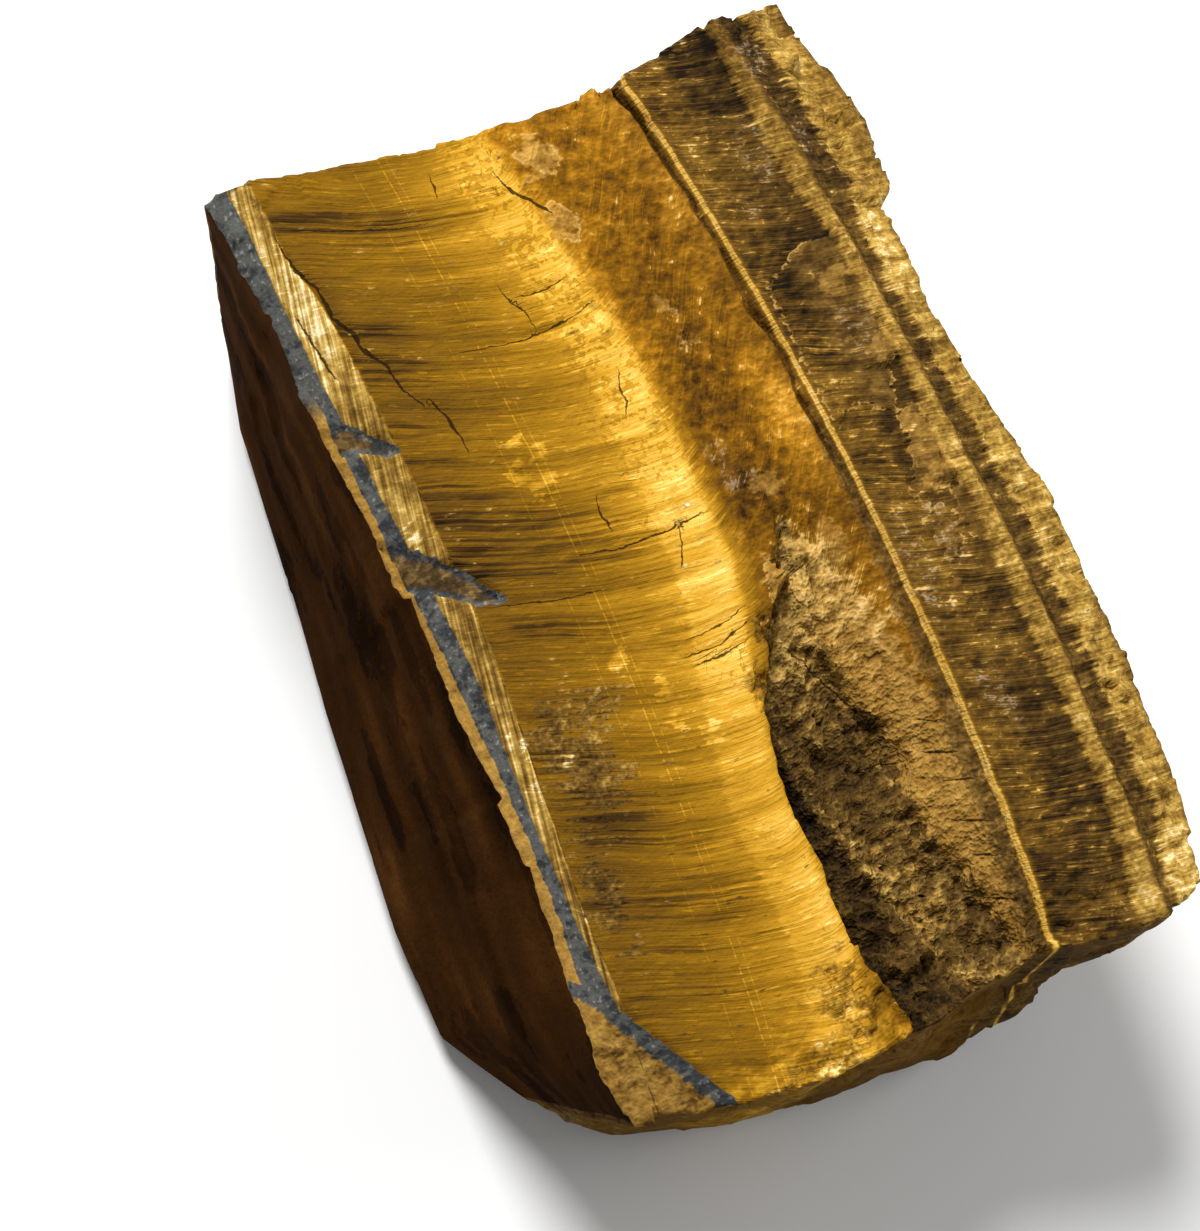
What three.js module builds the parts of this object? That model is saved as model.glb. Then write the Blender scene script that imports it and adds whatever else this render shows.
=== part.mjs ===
// Rough tiger's eye: one broken block of fibrous quartz, lying on its back with the fibre face up.
// The layers are upright sheets side by side, so +X crosses them, +Y runs along them and +Z leaves
// the fibre face. Millimetres. The origin is the middle of the bounding box, down on the bed.
import * as THREE from "three";
import { mergeVertices } from "three/addons/utils/BufferGeometryUtils.js";

const { smoothstep, lerp, clamp } = THREE.MathUtils;

// Driving dimensions
const faceHeight = 52; // the fibre face above the bed
const length = 114; // along the layers, between the broken ends
const cellsAlong = 36;
const cellsUp = 10;

// The rim of the fibre face and the foot of the block. Left and right edges are x for a given y,
// front and back edges are y for a given x.
const rim = {
  left: [[-52, -19.8], [-38, -20.3], [-15, -19.3], [12, -19.4], [61, -20]],
  right: [[-55, 54.4], [-46, 57], [-20, 58.4], [-5, 58.8], [18, 56], [34, 56.6], [44, 58.8], [61, 55]],
  front: [[-20, -51.8], [-9.5, -54.8], [6, -57], [20, -55.6], [33, -55], [44, -56.2], [54, -55.2]],
  back: [[-20, 60.8], [-6, 58.2], [8, 55.8], [24, 56.4], [38, 58], [47, 60.4], [55, 61.5]],
};
const foot = {
  left: [[-44, -20.5], [-33, -27.5], [-19, -27.3], [9, -23.8], [26, -21], [46, -18.4], [57, -15]],
  right: [[-54, 50], [-30, 53.5], [0, 54.5], [28, 52.5], [50, 49]],
  front: [[-20.5, -44.5], [-13, -52.6], [0, -57.8], [14, -61.4], [30, -63], [42, -60], [50, -54]],
  back: [[-15, 57], [3, 54.5], [20, 51], [36, 53.5], [50, 50]],
};
const bedShrink = 0.05; // the foot is drawn in by this share where it meets the surface below
const bedRise = 4; // and has swollen to its full outline this far up

// The layered left edge, from the rim inwards: a steep ironstone layer, then a narrow fibre band
const ironstoneX = -16.8;
const ironstoneSlope = 1.2;
const bandSlope = 0.75;
const bandEdgeAt = (y) => Math.max(-15.9, -13.2 - 0.0013 * (y - 12) ** 2);

// The wide fibre band: nearly flat, then over a shoulder and down to an open seam
const hollowX = -3;
const hollowWidth = 9;
const hollowDepth = 0.7;
const shoulderAt = (y) => (y > 0 ? 16.3 - 0.0024 * y ** 2 : 16.3 - 5.8 * smoothstep(-y, 0, 28));
const shoulderFall = 0.36;
const shoulderRound = 3.5;

// Past the seam: a lower plate, a rounded stripe along it, and a flank that falls to the right rim
const seamAt = (y) => 36.2 - 0.0012 * (y + 5) ** 2;
const seamHalf = 0.7;
const plateDrop = 4.7;
const stripeAt = (y) => 49.2 - 0.0011 * (y + 8) ** 2;
const stripeHeight = 1.3;
const stripeWidth = 2.4;
const flankFall = 0.5;

// The pit, where the slope below the shoulder has broken away
const pitDrop = 12.5; // at the foot of its steep left wall
const pitFloorRise = 0.36; // the floor climbs towards the seam
const pitWall = 2.6;
const pitLeftAt = (y) => 13 + 11 * smoothstep(y, -26, 3);
const pitRightAt = (y) => 28 + 4.4 * smoothstep(y, -20, -2) + 3 * smoothstep(-y, 40, 52);
const pitEnds = { frontRim: -54.5, frontFloor: -48, backFloor: -10, backRim: 3.5 };

// The chamfer across the front left corner of the fibre face
const chamfer = { x: -17.3, y: -40, slope: 0.8, nx: -0.877, ny: -0.48 };

// Broken sides: flat facets, each with its own lean and step
const facetCount = 54;
const facetLean = 0.1;
const facetStep = 1.2;

// The columns of the grid follow the structure: how many cells lie left of each line.
const lanes = [
  { cells: 2, x: () => ironstoneX },
  { cells: 4, x: bandEdgeAt },
  { cells: 12, x: shoulderAt },
  { cells: 14, x: pitLeftAt },
  { cells: 15, x: (y) => pitLeftAt(y) + pitWall },
  { cells: 19, x: (y) => seamAt(y) - seamHalf },
  { cells: 20, x: (y) => seamAt(y) + seamHalf },
  { cells: 24, x: stripeAt },
];
const cellsAcross = 28;

// A straight-sided line through its points: the second value of each pair, for a given first value.
function lineThrough(points) {
  return (t) => {
    const next = points.findIndex(([at], i) => i > 0 && at >= t);
    const [from, to] = next < 0 ? points.slice(-2) : points.slice(next - 1, next + 1);
    return lerp(from[1], to[1], clamp((t - from[0]) / (to[0] - from[0]), 0, 1));
  };
}

// The same line, a share of the way from its first point to its last.
function lineAtShare(points, share) {
  return lineThrough(points)(lerp(points[0][0], points.at(-1)[0], share));
}

const bump = (d, width) => Math.exp(-((d / width) ** 2));
const softRamp = (d, round) => (Math.hypot(d, round) + d) / 2;

// Height of the fibre face above the bed.
function faceZ(x, y) {
  const past = x - stripeAt(y);
  const hollow = hollowDepth * bump(x - hollowX, hollowWidth);
  const slope = faceHeight - hollow - shoulderFall * softRamp(x - shoulderAt(y), shoulderRound);
  const stripe = stripeHeight * bump(past, stripeWidth);
  const plate = faceHeight - plateDrop + stripe - flankFall * softRamp(past - 3, 1.5);
  let z = lerp(slope, plate, smoothstep(x, seamAt(y) - seamHalf, seamAt(y) + seamHalf));
  z -= bandSlope * Math.max(0, bandEdgeAt(y) - x);
  z -= (ironstoneSlope - bandSlope) * Math.max(0, ironstoneX - x);
  const pastChamfer = (x - chamfer.x) * chamfer.nx + (y - chamfer.y) * chamfer.ny;
  z = Math.min(z, faceHeight - 2.2 - chamfer.slope * pastChamfer);
  return lerp(z, pitZ(x, y), pitShare(x, y));
}

const pitZ = (x, y) => faceHeight - pitDrop + pitFloorRise * (x - pitLeftAt(y));

// How much of the fibre face is broken away at (x, y): 0 outside the pit and 1 on its floor.
function pitShare(x, y) {
  const left = smoothstep(x, pitLeftAt(y), pitLeftAt(y) + pitWall);
  const right = smoothstep(x, pitRightAt(y) - 1.5, pitRightAt(y) + 2.5);
  const front = smoothstep(y, pitEnds.frontRim, pitEnds.frontFloor);
  const back = smoothstep(y, pitEnds.backFloor, pitEnds.backRim);
  return left * (1 - right) * front * (1 - back);
}

// Seeds spread evenly through the block by stepping along three irrational strides.
const facets = Array.from({ length: facetCount }, (_, i) => ({
  seed: new THREE.Vector3(
    lerp(-28, 60, ((i + 1) * 0.8191725) % 1),
    lerp(-62, 62, ((i + 1) * 0.6710436) % 1),
    lerp(0, faceHeight, ((i + 1) * 0.5497005) % 1),
  ),
  lean: new THREE.Vector3(Math.sin(12.9 * i), Math.sin(7.3 * i + 1), Math.sin(5.7 * i + 2)),
  step: Math.sin(9.1 * i + 3),
}));

// How far a broken side stands out at a point, by the facet whose seed is nearest.
function facetOffset(point) {
  const nearer = (a, b) => (a.seed.distanceTo(point) <= b.seed.distanceTo(point) ? a : b);
  const { seed, lean, step } = facets.reduce(nearer);
  return facetStep * step + facetLean * lean.dot(point.clone().sub(seed));
}

// A sheet inside an outline: where the grid line `column` cells across and `v` of the way along lies.
function sheet(outline) {
  const front = lineThrough(outline.front);
  const back = lineThrough(outline.back);
  return (column, v) => {
    const along = lerp(-length / 2, length / 2, v);
    const stops = lanes.map((lane) => [lane.cells, lane.x(along)]);
    const start = lineAtShare(rim.left, v);
    const end = lineAtShare(rim.right, v);
    const lineX = lineThrough([[0, start], ...stops, [cellsAcross, end]])(column);
    const share = (lineX - start) / (end - start);
    const x = lerp(lineAtShare(outline.left, v), lineAtShare(outline.right, v), share);
    return new THREE.Vector2(x, lerp(front(x), back(x), v));
  };
}

const rimSheet = sheet(rim);
const footSheet = sheet(foot);
const footMiddle = footSheet(cellsAcross / 2, 0.5);

// Where the corner of a grid cell goes: column of the grid, share along it, share of the way up.
function place(column, v, w) {
  const top = rimSheet(column, v);
  const z = w * faceZ(top.x, top.y);
  const flat = footSheet(column, v).lerp(top, w);
  const side = new THREE.Vector2(Math.sign(column - cellsAcross / 2), Math.sign(v - 0.5));
  side.x *= column === cellsAcross ? 1 : 0; // the left side is a smooth wall of the vein
  side.y *= v === 0 || v === 1 ? 1 : 0;
  const point = new THREE.Vector3(flat.x, flat.y, z);
  flat.addScaledVector(side.normalize(), facetOffset(point) * Math.sin(Math.PI * w));
  flat.lerp(footMiddle, bedShrink * (1 - smoothstep(z, 0, bedRise)));
  return point.set(flat.x, flat.y, z);
}

function blockGeometry() {
  const box = new THREE.BoxGeometry(1, 1, 1, cellsAcross, cellsAlong, cellsUp);
  box.deleteAttribute("normal");
  box.deleteAttribute("uv");
  const corners = box.getAttribute("position");
  for (let i = 0; i < corners.count; i++) {
    const column = Math.round((corners.getX(i) + 0.5) * cellsAcross);
    const row = Math.round((corners.getY(i) + 0.5) * cellsAlong);
    const level = Math.round((corners.getZ(i) + 0.5) * cellsUp);
    corners.setXYZ(i, ...place(column, row / cellsAlong, level / cellsUp));
  }
  const geometry = mergeVertices(box, 1e-3);
  geometry.computeBoundingBox();
  const middle = geometry.boundingBox.getCenter(new THREE.Vector3());
  geometry.translate(-middle.x, -middle.y, -geometry.boundingBox.min.z);
  geometry.computeVertexNormals();
  return geometry;
}

const tigersEye = new THREE.MeshStandardMaterial({
  name: "tigers_eye",
  color: new THREE.Color(0.52, 0.33, 0.07),
  roughness: 0.45,
  metalness: 0,
});

const stone = new THREE.Mesh(blockGeometry(), tigersEye);
stone.name = "stone";

const part = new THREE.Group();
part.add(stone);

export default part;
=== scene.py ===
import itertools
import math

import bmesh
import bpy
import numpy as np
from mathutils import Matrix, Vector


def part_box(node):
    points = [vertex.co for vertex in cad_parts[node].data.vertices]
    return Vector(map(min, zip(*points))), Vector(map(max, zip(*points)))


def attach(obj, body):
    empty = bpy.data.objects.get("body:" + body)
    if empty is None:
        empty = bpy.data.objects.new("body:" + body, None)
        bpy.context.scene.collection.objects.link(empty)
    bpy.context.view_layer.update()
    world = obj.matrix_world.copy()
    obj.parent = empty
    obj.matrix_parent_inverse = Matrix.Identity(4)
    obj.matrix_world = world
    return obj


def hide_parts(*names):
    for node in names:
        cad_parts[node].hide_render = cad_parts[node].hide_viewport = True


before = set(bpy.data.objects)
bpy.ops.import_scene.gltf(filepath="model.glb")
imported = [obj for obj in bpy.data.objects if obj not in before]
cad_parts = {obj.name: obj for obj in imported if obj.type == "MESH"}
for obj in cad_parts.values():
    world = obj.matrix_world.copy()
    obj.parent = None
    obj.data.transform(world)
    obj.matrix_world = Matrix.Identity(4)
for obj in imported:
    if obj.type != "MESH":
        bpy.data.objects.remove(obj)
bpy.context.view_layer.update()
stoneLow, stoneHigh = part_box("stone")

# The stone is shaped in its own millimetres, with x across the layers, y along them and z up out
# of the fibre face, and is scaled and moved into the frame once, at the end.
block = {
    "height": 52,  # the fibre face above the bed
    "length": 114,
    "rim": {
        "left": [
            (-52, -19.5), (-45, -20.8), (-38, -20.4), (-30, -19.5), (-15, -18.7), (3, -18.5), (15, -18.9),
            (30, -19.4), (45, -19.9), (61, -20.8),
        ],
        "right": [
            (-55, 54.4), (-46, 56.4), (-36, 57.2), (-20, 57.6), (-12, 58.8), (-6, 58.8), (2, 57.4),
            (10, 55.8), (20, 55), (32.5, 55), (34, 57.2), (37, 58.8), (44, 59.4), (52, 57.8), (61, 55.8),
        ],
        "front": [(-20, -51.8), (-9.5, -54.8), (6, -57), (20, -55.6), (33, -55), (44, -56.2),
                  (54, -55.2)],
        "back": [(-20, 60.8), (-6, 58.4), (8, 56.6), (24, 57.8), (38, 59.6), (47, 61.2), (55, 61.8)],
    },
    "foot": {
        "left": [(-44, -20.5), (-33, -27.5), (-19, -27.3), (9, -23.8), (26, -21), (46, -18.4), (57, -15)],
        "right": [(-54, 50), (-30, 53.5), (0, 54.5), (28, 52.5), (50, 49)],
        "front": [(-20.5, -44.5), (-13, -52.6), (0, -57.8), (14, -61.4), (30, -63), (42, -60), (50, -54)],
        "back": [(-15, 57), (3, 54.5), (20, 51), (36, 53.5), (50, 50)],
    },
    "bedShrink": 0.05,
    "bedRise": 4,
    "bedHollow": 1.2,
    "rows": 150,
    "levels": 38,
    # grid columns between the lines that run along the stone, from the left rim to the right one
    "columns": [4, 6, 27, 7, 4, 24, 2, 15, 10],
}

# the layers at the left edge, the fibre face and what lies past the seam
ironstone = {
    "edge": [(-57, -17.3), (-40, -17.3), (-30, -17.4), (-20, -17), (-10, -16.4), (0, -16), (5, -16.2),
             (25, -17.2), (40, -17.8), (50, -18.3), (61, -18.6)],
    "slope": 1.2,
}
paleBand = {
    "edge": [(-57, -16.9), (-40, -16.9), (-30, -16.5), (-20, -15.4), (-10, -14.4), (0, -13.6),
             (5, -13.4), (20, -13.5), (30, -13.7), (40, -14.2), (45, -14.8), (50, -16), (61, -16.4)],
    "slope": 0.75,
}
hollow = {"x": -3, "width": 9, "depth": 0.7}
shoulder = {"x": 16.3, "backCurve": 0.0024, "frontStep": 7.3, "frontReach": 28, "fall": 0.36, "round": 3.5}
seam = {"x": 36.2, "curve": 0.0012, "bowAt": -5, "half": 0.25, "drop": 4.7, "lip": 0.7}
stripe = {"x": 49.2, "curve": 0.0011, "bowAt": -8, "height": 1.5, "width": 1.8, "fall": 0.5}
pit = {  # where the slope has broken away: lines along it, each as x for a given y
    "left": [
        (-56, 12.5), (-50, 11.6), (-46, 10.1), (-40, 10), (-35, 10.6), (-30, 10.2), (-25, 10.6),
        (-20, 11.6), (-17, 12.6), (-15, 14), (-12, 15.8), (-9.5, 16.6), (-7, 19), (-4, 21.5), (0, 23),
        (4, 24),
    ],
    "ridge": [(-56, 24), (-46, 21), (-38, 18), (-33, 16.5), (-27, 15.5), (-17, 14), (-8, 20), (4, 25)],
    "ledge": [
        (-56, 31), (-50, 30), (-42, 29), (-38, 27.2), (-31, 26.6), (-28, 28), (-23, 27.4), (-20, 25),
        (-15, 24), (-9, 22.5), (4, 26.5),
    ],
    "wall": 1.2,
    "depth": {"foot": 12, "ridge": 7, "underLedge": 5, "ledge": 2.8, "seam": 0.9},
    "share": [(-57, 0.25), (-52, 0.7), (-46, 1), (-26, 1), (-18, 0.85), (-12, 0.7), (-5, 0.5),
              (1, 0.28), (4, 0)],
}
chamfer = {"x": -17.3, "y": -40, "slope": 0.8, "nx": -0.877, "ny": -0.48, "drop": 0.6}


def ease(value, low, high):
    t = np.clip((value - low) / (high - low), 0, 1)
    return t * t * (3 - 2 * t)


def bump(distance, width):
    return np.exp(-((distance / width) ** 2))


def softRamp(distance, rounding):
    return (np.hypot(distance, rounding) + distance) / 2


def lineThrough(points, at):
    first, second = zip(*points)
    return np.interp(at, first, second)


def flatPoints(x, y):
    return np.stack([x, y, x * 0], axis=1)


# the lines that the layers follow, each as x for a given y
def ironEdge(y):
    return lineThrough(ironstone["edge"], y)


def bandEdge(y):
    return lineThrough(paleBand["edge"], y)


def shoulderLine(y):
    behind = shoulder["backCurve"] * y**2
    before = shoulder["frontStep"] * ease(-y, 0, shoulder["frontReach"])
    return shoulder["x"] - np.where(y > 0, behind, before)


def pitLeft(y):
    points = flatPoints(y * 0, y)
    bite = facets(points, (9, 3.2, 9), 16) + 0.4 * noise(points, 1.2, 18)
    return lineThrough(pit["left"], y) + (0.35 + 0.6 * ease(y, -22, -10)) * bite


def seamLine(y):
    return seam["x"] - seam["curve"] * (y - seam["bowAt"]) ** 2


def stripeLine(y):
    return stripe["x"] - stripe["curve"] * (y - stripe["bowAt"]) ** 2


def layerLines(y, left, right):
    pitX, seamX = pitLeft(y), seamLine(y)
    return [
        left, ironEdge(y), bandEdge(y), np.minimum(shoulderLine(y), pitX - 0.4), pitX, pitX + pit["wall"],
        seamX - seam["half"], seamX + seam["half"], stripeLine(y), right,
    ]


# smooth value noise from -1 to 1 at points in millimetres, in three dimensions
def noise(points, size, seed, octaves=1):
    total = np.zeros(len(points))
    for octave in range(octaves):
        total += valueNoise(points * (2**octave) / np.asarray(size, float), seed + octave) * 0.5**octave
    return total


def scramble(cells, seed):
    h = cells.astype(np.int64) @ np.array([374761393, 668265263, 1440670441]) + seed * 1274126177
    h = ((h ^ (h >> 13)) * 1103515245) & 0x7FFFFFFF
    h = ((h ^ (h >> 15)) * 69069) & 0x7FFFFFFF
    return ((h >> 7) & 0xFFFF) / 32767.5 - 1


def valueNoise(points, seed):
    cell = np.floor(points)
    part = points - cell
    part = part * part * (3 - 2 * part)
    total = np.zeros(len(points))
    for corner in itertools.product((0, 1), repeat=3):
        weight = np.prod(np.where(corner, part, 1 - part), axis=1)
        total += weight * scramble(cell + corner, seed)
    return total


# flat facets, one for each cell of scattered seeds: how far each point stands out, from about -1 to 1
def facets(points, size, seed, lean=1):
    scaled = points / np.asarray(size, float)
    cell = np.floor(scaled)
    nearest = np.full(len(points), 1e9)
    out = np.zeros(len(points))
    for step in itertools.product((-1, 0, 1), repeat=3):
        other = cell + step
        seeds = other + 0.5 + 0.45 * np.stack([scramble(other, seed + k) for k in range(3)], axis=1)
        away = scaled - seeds
        distance = (away**2).sum(axis=1)
        tilt = np.stack([scramble(other, seed + 3 + k) for k in range(3)], axis=1)
        value = scramble(other, seed + 6) * 0.5 + lean * (tilt * away).sum(axis=1)
        closer = distance < nearest
        nearest = np.where(closer, distance, nearest)
        out = np.where(closer, value, out)
    return out


# a value carried over from one row of lines to another, in step with where it lies between them
def carriedOver(value, lines, others, beyond):
    for k in range(len(lines) - 1):
        part = (value - lines[k]) / np.maximum(lines[k + 1] - lines[k], 1e-6)
        inside = (part >= 0) & (part <= 1)
        beyond = np.where(inside, others[k] + (others[k + 1] - others[k]) * part, beyond)
    return beyond


# where each line lies once it is pulled straight: rims, ironstone, band, shoulder, seam and stripe
straightLines = [-20, -17.3, -14.2, 16, 35.3, 36.7, 49, 58]


# x with the line of every layer pulled straight
def straightened(x, y):
    left, right = lineThrough(block["rim"]["left"], y), lineThrough(block["rim"]["right"], y)
    leftRim, iron, band, bend, _, _, seamStart, seamEnd, ridge, rightRim = layerLines(y, left, right)
    beyond = np.where(x < left, straightLines[0] + x - left, straightLines[-1] + x - right)
    lines = [leftRim, iron, band, bend, seamStart, seamEnd, ridge, rightRim]
    return carriedOver(x, lines, straightLines, beyond)


# Fibres run across the layers and bend from zone to zone: how far they climb in y for each step in x.
fibreSlope = [
    (-30, -0.34), (-2, -0.33), (6, -0.2), (12, -0.06), (15, 0), (18, 0.5), (22, 1.1), (28, 1.4),
    (33.5, 1.2), (35.2, 0.1), (37, -0.36), (42, -0.36), (46, -0.25), (52, -0.1), (60, -0.04),
]


# across and along a bundle of fibres, which follow the face and run on down the walls
def fibreCoordinates(x, y, rise=0):
    stations = np.linspace(-40, 70, 441)
    climb = np.cumsum(lineThrough(fibreSlope, stations)) * (stations[1] - stations[0])
    return flatPoints(x, y - np.interp(straightened(x, y), stations, climb) + rise)


# where dark fibres crowd together: x, y, half length and half width
crowds = [
    (-10, 51.5, 7, 1.4), (-11, 46, 6, 1.2), (-9, 38.5, 8, 2.2), (0, 36.4, 6, 0.8), (-8, 33.5, 9, 1.2),
    (4, 33, 6, 0.8), (-12, 28, 3, 1), (-10, 18.6, 8, 1.4), (-8, 14.2, 10, 1.4), (-9, 9.4, 7, 1),
    (-8, 1.4, 8, 1.6), (-9, -5, 8, 1.6), (-12, -13, 5, 3), (-11, -23, 5, 3), (-11, -31, 7, 2),
    (-8, -37.4, 8, 1.2), (-6, -43.6, 8, 1.2), (3, -29, 5, 0.8), (11, 11.6, 5, 0.9), (10, -7.6, 6, 1.5),
    (9, 1.6, 4, 0.6), (13, 35, 3, 1), (4, -40, 4, 0.8), (-7, 48.8, 9, 0.9), (-5, 43.2, 10, 0.9),
    (-6, 40.8, 9, 0.8), (-6, 31, 10, 1), (-2, 25.4, 8, 0.8), (-9, 22.4, 7, 0.8), (-4, 12, 9, 0.8),
]


def crowdField(x, y):
    fibre = fibreCoordinates(x, y)
    crowd = np.full_like(x, -1)
    for placeX, placeY, long, wide in crowds:
        centre = fibreCoordinates(np.array([placeX]), np.array([placeY]))[0]
        inside = 1 - np.hypot((fibre[:, 0] - centre[0]) / long, (fibre[:, 1] - centre[1]) / wide)
        crowd = np.maximum(crowd, inside)
    return 0.13 * crowd + 0.24 * noise(fibre, (24, 4, 5), 251, 2)


# The pit: how far its broken floor lies below the slope that it has broken out of.
def pitDepth(x, y):
    left = pitLeft(y)
    ridge = np.maximum(lineThrough(pit["ridge"], y), left + 1.2)
    ledge = lineThrough(pit["ledge"], y) + 0.8 * noise(flatPoints(x * 0, y), 2.2, 15, 2)
    ledge = np.maximum(ledge, ridge + 1.2)
    depth = pit["depth"]
    floor = depth["foot"] + (depth["ridge"] - depth["foot"]) * ease(x, left, ridge)
    floor += (depth["underLedge"] - depth["ridge"]) * ease(x, ridge, ledge)
    floor += (depth["ledge"] - depth["underLedge"]) * ease(x, ledge - 0.4, ledge + 0.5)
    floor += (depth["seam"] - depth["ledge"]) * ease(x, ledge + 0.5, seamLine(y) - 1)
    beforeSeam = 1 - ease(x, seamLine(y) - seam["half"], seamLine(y) + seam["half"])
    return floor * ease(x, left, left + pit["wall"]) * beforeSeam * lineThrough(pit["share"], y)


def pitShare(x, y):
    return ease(pitDepth(x, y), 0.2, 2.2)


# the smoother patch between the ledge and the seam: how far inside it a point is
def patchField(x, y):
    return np.minimum(x - lineThrough(pit["ledge"], y), seamLine(y) - 1.6 - x)


def faceHeight(x, y):
    past = x - stripeLine(y)
    dip = hollow["depth"] * bump(x - hollow["x"], hollow["width"])
    slope = block["height"] - dip - shoulder["fall"] * softRamp(x - shoulderLine(y), shoulder["round"])
    toSeam = ease(x, seamLine(y) - 10, seamLine(y))
    slope += (block["height"] - seam["drop"] - seam["lip"] - slope) * toSeam
    ridge = stripe["height"] * bump(past, stripe["width"])
    plate = block["height"] - seam["drop"] + ridge - stripe["fall"] * softRamp(past - 3, 1.5)
    z = slope + (plate - slope) * ease(x, seamLine(y) - seam["half"], seamLine(y) + seam["half"])
    z -= paleBand["slope"] * np.maximum(0, bandEdge(y) - x)
    z -= (ironstone["slope"] - paleBand["slope"]) * np.maximum(0, ironEdge(y) - x)
    z = np.minimum(z, block["height"] - chamfer["drop"] - chamfer["slope"] * pastChamfer(x, y))
    return z - pitDepth(x, y)


# what has happened to the fibre face, all of it as points (x, y)
chips = [  # ironstone wedges bared where the pale band has come away: outline and depth
    ([(-20.5, 31.5), (-17.2, 31), (-15.2, 28.4), (-12.9, 25), (-14.8, 25.4), (-17.4, 27.6),
      (-20.5, 28)], 0.8),
    ([(-20.5, 19), (-17.6, 16.2), (-14.4, 12.6), (-11.8, 9.2), (-9, 5), (-12.6, 6), (-16.6, 9.6),
      (-20.5, 13)], 1),
]
crusts = [  # raised sheets that still cling to the face: outline and thickness
    ([(36.4, 28.6), (40, 30.4), (43, 31.8), (47.6, 31.6), (48, 22), (46, 15), (44, 9), (40, 12),
      (36.6, 10)], 0.5),
    ([(-3, 21.8), (0, 22.6), (2.4, 20), (1.6, 16.4), (0.4, 14.4), (-1.6, 14.8), (-1.2, 17),
      (-3, 18.6)], 0.3),
    ([(14.4, 55.6), (18.6, 54.6), (19.4, 51), (18, 49.6), (15.8, 50.8), (14.2, 52.6)], 0.35),
    ([(13, 45), (15.6, 46.2), (18, 44.2), (16.6, 41), (14.4, 41.8)], 0.3),
    ([(43, 20), (46.5, 21), (47.5, 16), (45, 13.5), (43.4, 16)], 0.6),
    ([(46, -2), (48.6, -1), (49, -7), (46.5, -9), (45, -5)], 0.5),
    ([(41, -4), (44, -3), (44.5, -8), (42, -9.5)], 0.5),
    ([(44, 8.6), (46.6, 9.4), (47.4, 4), (46.8, -1.6), (44.6, -0.6), (42.4, -2.6), (41.6, 0.4),
      (43.6, 3.6)], 0.7),
    ([(12.4, -48), (16, -47), (20.6, -48.6), (19.4, -50), (15.6, -49.6), (12.8, -50.4)], 1.2),
    ([(20, -2), (22.4, -1.4), (22.6, -4.4), (20.6, -6.8), (18.8, -6)], 0.6),
    ([(22.4, -4.6), (24.6, -4), (25, -6.8), (23.2, -7.6)], 0.5),
]
cracks = [  # course and half width
    ([(-16.2, 52.8), (-15.7, 48.6), (-14.2, 45.8), (-14, 42), (-12.6, 39.6), (-12.4, 37.4), (-10.6, 35),
      (-10.2, 32), (-8.8, 29.4)], 0.22),
    ([(-17.3, 44), (-16.6, 39), (-16.3, 36)], 0.16),
    ([(-7.8, 29.4), (-6.7, 27.2), (-6.6, 25.6), (-6.1, 24.4), (-6.2, 22.6)], 0.16),
    ([(5, 39), (5.6, 36.6), (6.7, 35), (7, 32.6)], 0.1),
    ([(10.6, 51.4), (11.8, 48.6), (13.2, 47.4), (14.8, 45.2)], 0.28),
    ([(13.9, 25), (12.9, 22.6), (13.2, 21.2), (12.2, 19.6)], 0.1),
    ([(5.1, 12.4), (4.6, 10.2), (5.1, 8)], 0.12),
    ([(12.4, 6), (11.7, 3.4), (10.4, 1.2)], 0.09),
    ([(3.4, 54), (3, 50.8)], 0.1),
    ([(-3, 33.4), (5, 32), (10, 32.2), (15.4, 33.6)], 0.1),
    ([(0, 7), (5, 5.9), (11, 5.6), (16, 6.1)], 0.11),
    ([(6, 36.9), (10, 36.5), (13, 37.2)], 0.09),
    ([(6, -8.3), (11, -8.4), (15.6, -7)], 0.1),
    ([(6.5, -9.5), (11, -9.7), (15, -8.8)], 0.08),
    ([(7, -6.6), (12, -6.4), (16, -5.2)], 0.08),
    ([(-15, 53.4), (-9, 51.2), (-3, 49.4), (2, 48.4)], 0.08),
    ([(-14, 6), (-4, 3.2), (3, 2)], 0.07),
    ([(31, -24.4), (33.6, -25.8)], 0.1),
    ([(30.4, -28), (33.4, -29.8)], 0.12),
    ([(30.8, -32), (33.8, -33.4)], 0.12),
    ([(29.8, -36.4), (33.4, -38.6)], 0.13),
    ([(30.4, -41), (33, -42.6)], 0.12),
    ([(29.6, -46), (32.4, -47.8)], 0.12),
    ([(20.5, -12), (23, -16.5), (25.6, -20.6), (27.4, -22.6)], 0.14),
    ([(21.6, -22), (25, -22.6), (28.4, -23.6)], 0.12),
    ([(22.6, -27), (26, -27.2), (28.6, -28)], 0.12),
]
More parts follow.
